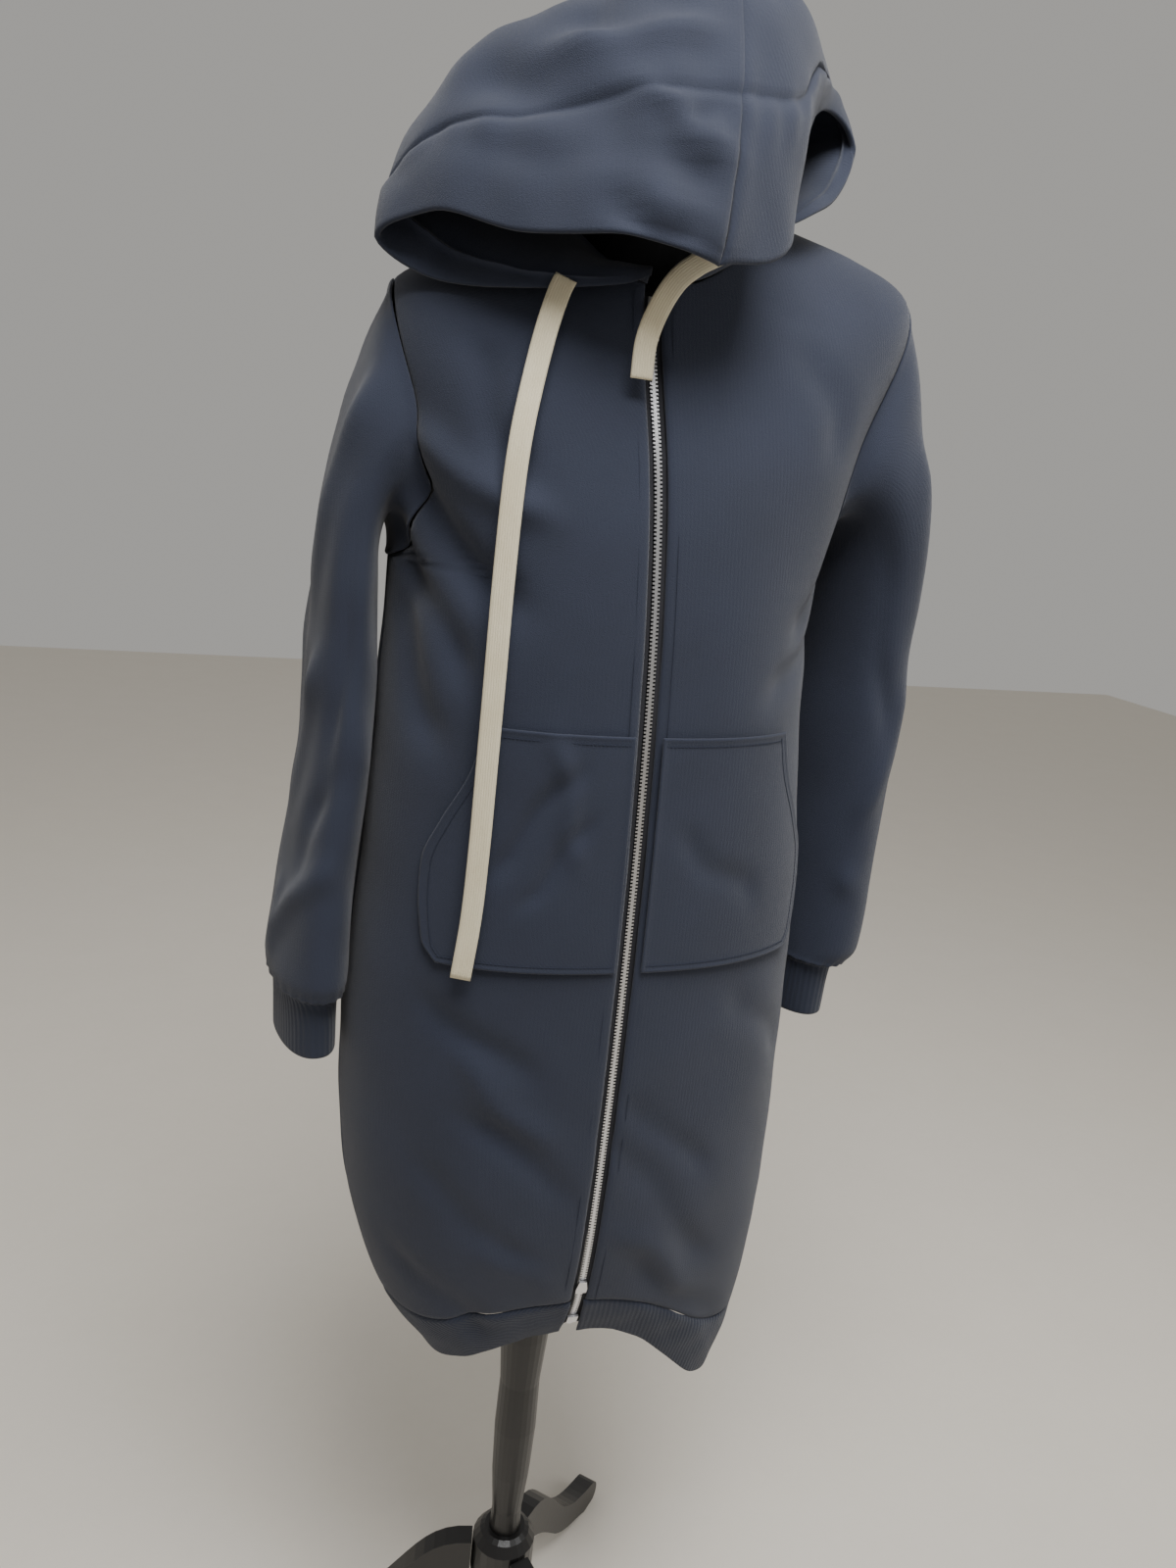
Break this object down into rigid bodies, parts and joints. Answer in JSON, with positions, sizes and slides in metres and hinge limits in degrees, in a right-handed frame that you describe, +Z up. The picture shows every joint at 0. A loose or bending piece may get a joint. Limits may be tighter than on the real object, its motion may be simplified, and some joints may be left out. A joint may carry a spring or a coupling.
{
  "type": "zip-up hooded sweater on a dress form",
  "caption": "Longline zip-up hooded sweater in thick fleece with kangaroo pockets and a flat drawcord, standing on a limbless dress form with a turned pole and carved legs.",
  "frame": {"origin": "on the floor under the middle of the bounding box", "axes": "+Z up, the garment faces -Y, the wearer's left is +X"},
  "size_m": [0.5664, 0.4014, 1.6696],
  "materials": {
    "fleece_navy": "brushed fleece, matt with a soft sheen",
    "rib_navy": "knitted rib, matt",
    "zip_tape": "woven polyester tape",
    "zip_metal": "nickel plated",
    "cord_cotton": "flat woven cotton",
    "form_jersey": "stretched jersey",
    "wood_black": "black satin lacquer"
  },
  "bodies": {
    "garment_and_form": {"front_left": "fleece_navy", "front_right": "fleece_navy", "back": "fleece_navy", "pocket_left": "fleece_navy", "pocket_right": "fleece_navy", "sleeve_left": "fleece_navy", "sleeve_right": "fleece_navy", "hood_left": "fleece_navy", "hood_right": "fleece_navy", "hem_band": "rib_navy", "cuff_left": "rib_navy", "cuff_right": "rib_navy", "zip_tape_left": "zip_tape", "zip_tape_right": "zip_tape", "zip_chain": "zip_metal", "slider_top": "zip_metal", "slider_low": "zip_metal", "zip_box": "zip_metal", "slider_bridge": "zip_metal", "drawcord_long": "cord_cotton", "drawcord_short": "cord_cotton", "form_torso": "form_jersey", "pole": "wood_black", "hub": "wood_black", "leg_back": "wood_black", "leg_right": "wood_black", "leg_left": "wood_black"},
    "tab": {"pull_tab": "zip_metal"}
  },
  "joints": [
    {"name": "pull_tab_hinge", "type": "hinge", "parent": "garment_and_form", "child": "tab", "pos_m": [-0.02622, -0.07247, 1.41062], "axis": [-1, 0, 0], "range_deg": [0, 150]}
  ]
}
